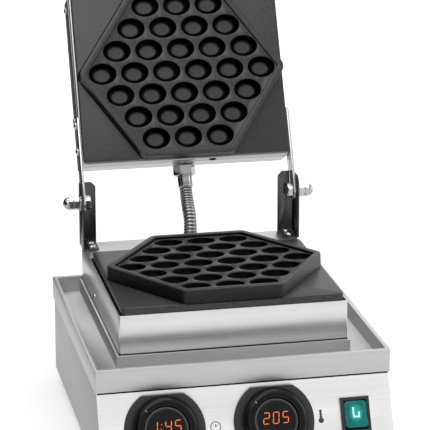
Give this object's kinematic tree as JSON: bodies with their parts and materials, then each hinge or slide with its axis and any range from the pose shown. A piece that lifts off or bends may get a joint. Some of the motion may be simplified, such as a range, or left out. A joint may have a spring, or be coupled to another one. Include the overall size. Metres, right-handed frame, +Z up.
{
  "type": "egg waffle pan",
  "caption": "Countertop egg waffle maker: hinged pair of cupped hexagonal plates over a drip tray and a slanted control panel.",
  "frame": {"origin": "centre of the footprint on the surface that it stands on, with the lid open", "axes": "+Z up, -Y towards the user and the control panel, +X to the user's right"},
  "size_m": [0.28, 0.4408, 0.436],
  "materials": {
    "steel_sheet": "brushed satin stainless sheet",
    "galvanised": "plain zinc-coated sheet",
    "lid_frame_steel": "dull stainless strip, heat-darkened",
    "arm_steel": "plain steel flat bar",
    "coated_plate": "cast aluminium with a black non-stick coating",
    "heater_steel": "heat-tinted steel sheath",
    "mineral_wool": "pressed mineral wool",
    "fastener": "zinc-plated steel",
    "chrome_nut": "polished plated steel",
    "gland_metal": "nickel-plated gland",
    "conduit_metal": "flexible steel hose",
    "black_plastic": "black moulded plastic",
    "grip_plastic": "black heat-proof plastic",
    "dark_window": "smoked display window",
    "green_plastic": "translucent green lens over a black rocker",
    "board": "glass-epoxy board",
    "terminal_plastic": "pale moulded plastic",
    "rubber_foot": "moulded black rubber"
  },
  "bodies": {
    "base": {"drip_tray": "steel_sheet", "casing_shell": "steel_sheet", "bottom_plate": "galvanised", "front_panel": "steel_sheet", "plate_housing": "steel_sheet", "lower_plate": "coated_plate", "lower_heating_rods": "heater_steel", "lower_rod_clamp": "galvanised", "lower_sensor": "heater_steel", "lower_heat_pan": "galvanised", "lower_insulation": "mineral_wool", "thermal_cutout": "black_plastic", "post_right": "steel_sheet", "post_left": "steel_sheet", "hinge_bolts": "fastener", "hinge_washers": "fastener", "hinge_nuts": "fastener", "hinge_cap_nuts": "chrome_nut", "deck_gland": "gland_metal", "conduit": "conduit_metal", "control_bezels": "black_plastic", "display_windows": "dark_window", "control_boards": "board", "switch_frame": "black_plastic", "feet": "rubber_foot", "cable_inlet": "black_plastic", "terminal_block": "terminal_plastic"},
    "lid": {"upper_plate": "coated_plate", "upper_heating_rods": "heater_steel", "upper_rod_clamp": "galvanised", "upper_sensor": "heater_steel", "upper_heat_pan": "galvanised", "upper_insulation": "mineral_wool", "lid_frame": "lid_frame_steel", "lid_cover": "steel_sheet", "lid_arm_right": "arm_steel", "lid_arm_left": "arm_steel", "handle_straps": "arm_steel", "handle_grip": "grip_plastic", "handle_rod": "fastener", "lid_gland": "gland_metal"},
    "timer_knob": {"timer_ring": "black_plastic"},
    "temperature_knob": {"temperature_ring": "black_plastic"},
    "power_rocker": {"switch_rocker": "green_plastic"}
  },
  "joints": [
    {"name": "lid_hinge", "type": "hinge", "parent": "base", "child": "lid", "pos_m": [0, 0.07829, 0.1945], "axis": [1, 0, 0], "range_deg": [0, 116], "deforming": ["conduit"]},
    {"name": "timer_turn", "type": "hinge", "parent": "base", "child": "timer_knob", "pos_m": [-0.078, -0.19614, 0.05492], "axis": [0, -0.9063, 0.4226], "continuous": true},
    {"name": "temperature_turn", "type": "hinge", "parent": "base", "child": "temperature_knob", "pos_m": [0.025, -0.19614, 0.05492], "axis": [0, -0.9063, 0.4226], "continuous": true},
    {"name": "power_switch", "type": "hinge", "parent": "base", "child": "power_rocker", "pos_m": [0.1032, -0.19614, 0.05492], "axis": [1, 0, 0], "range_deg": [0, 14]}
  ]
}
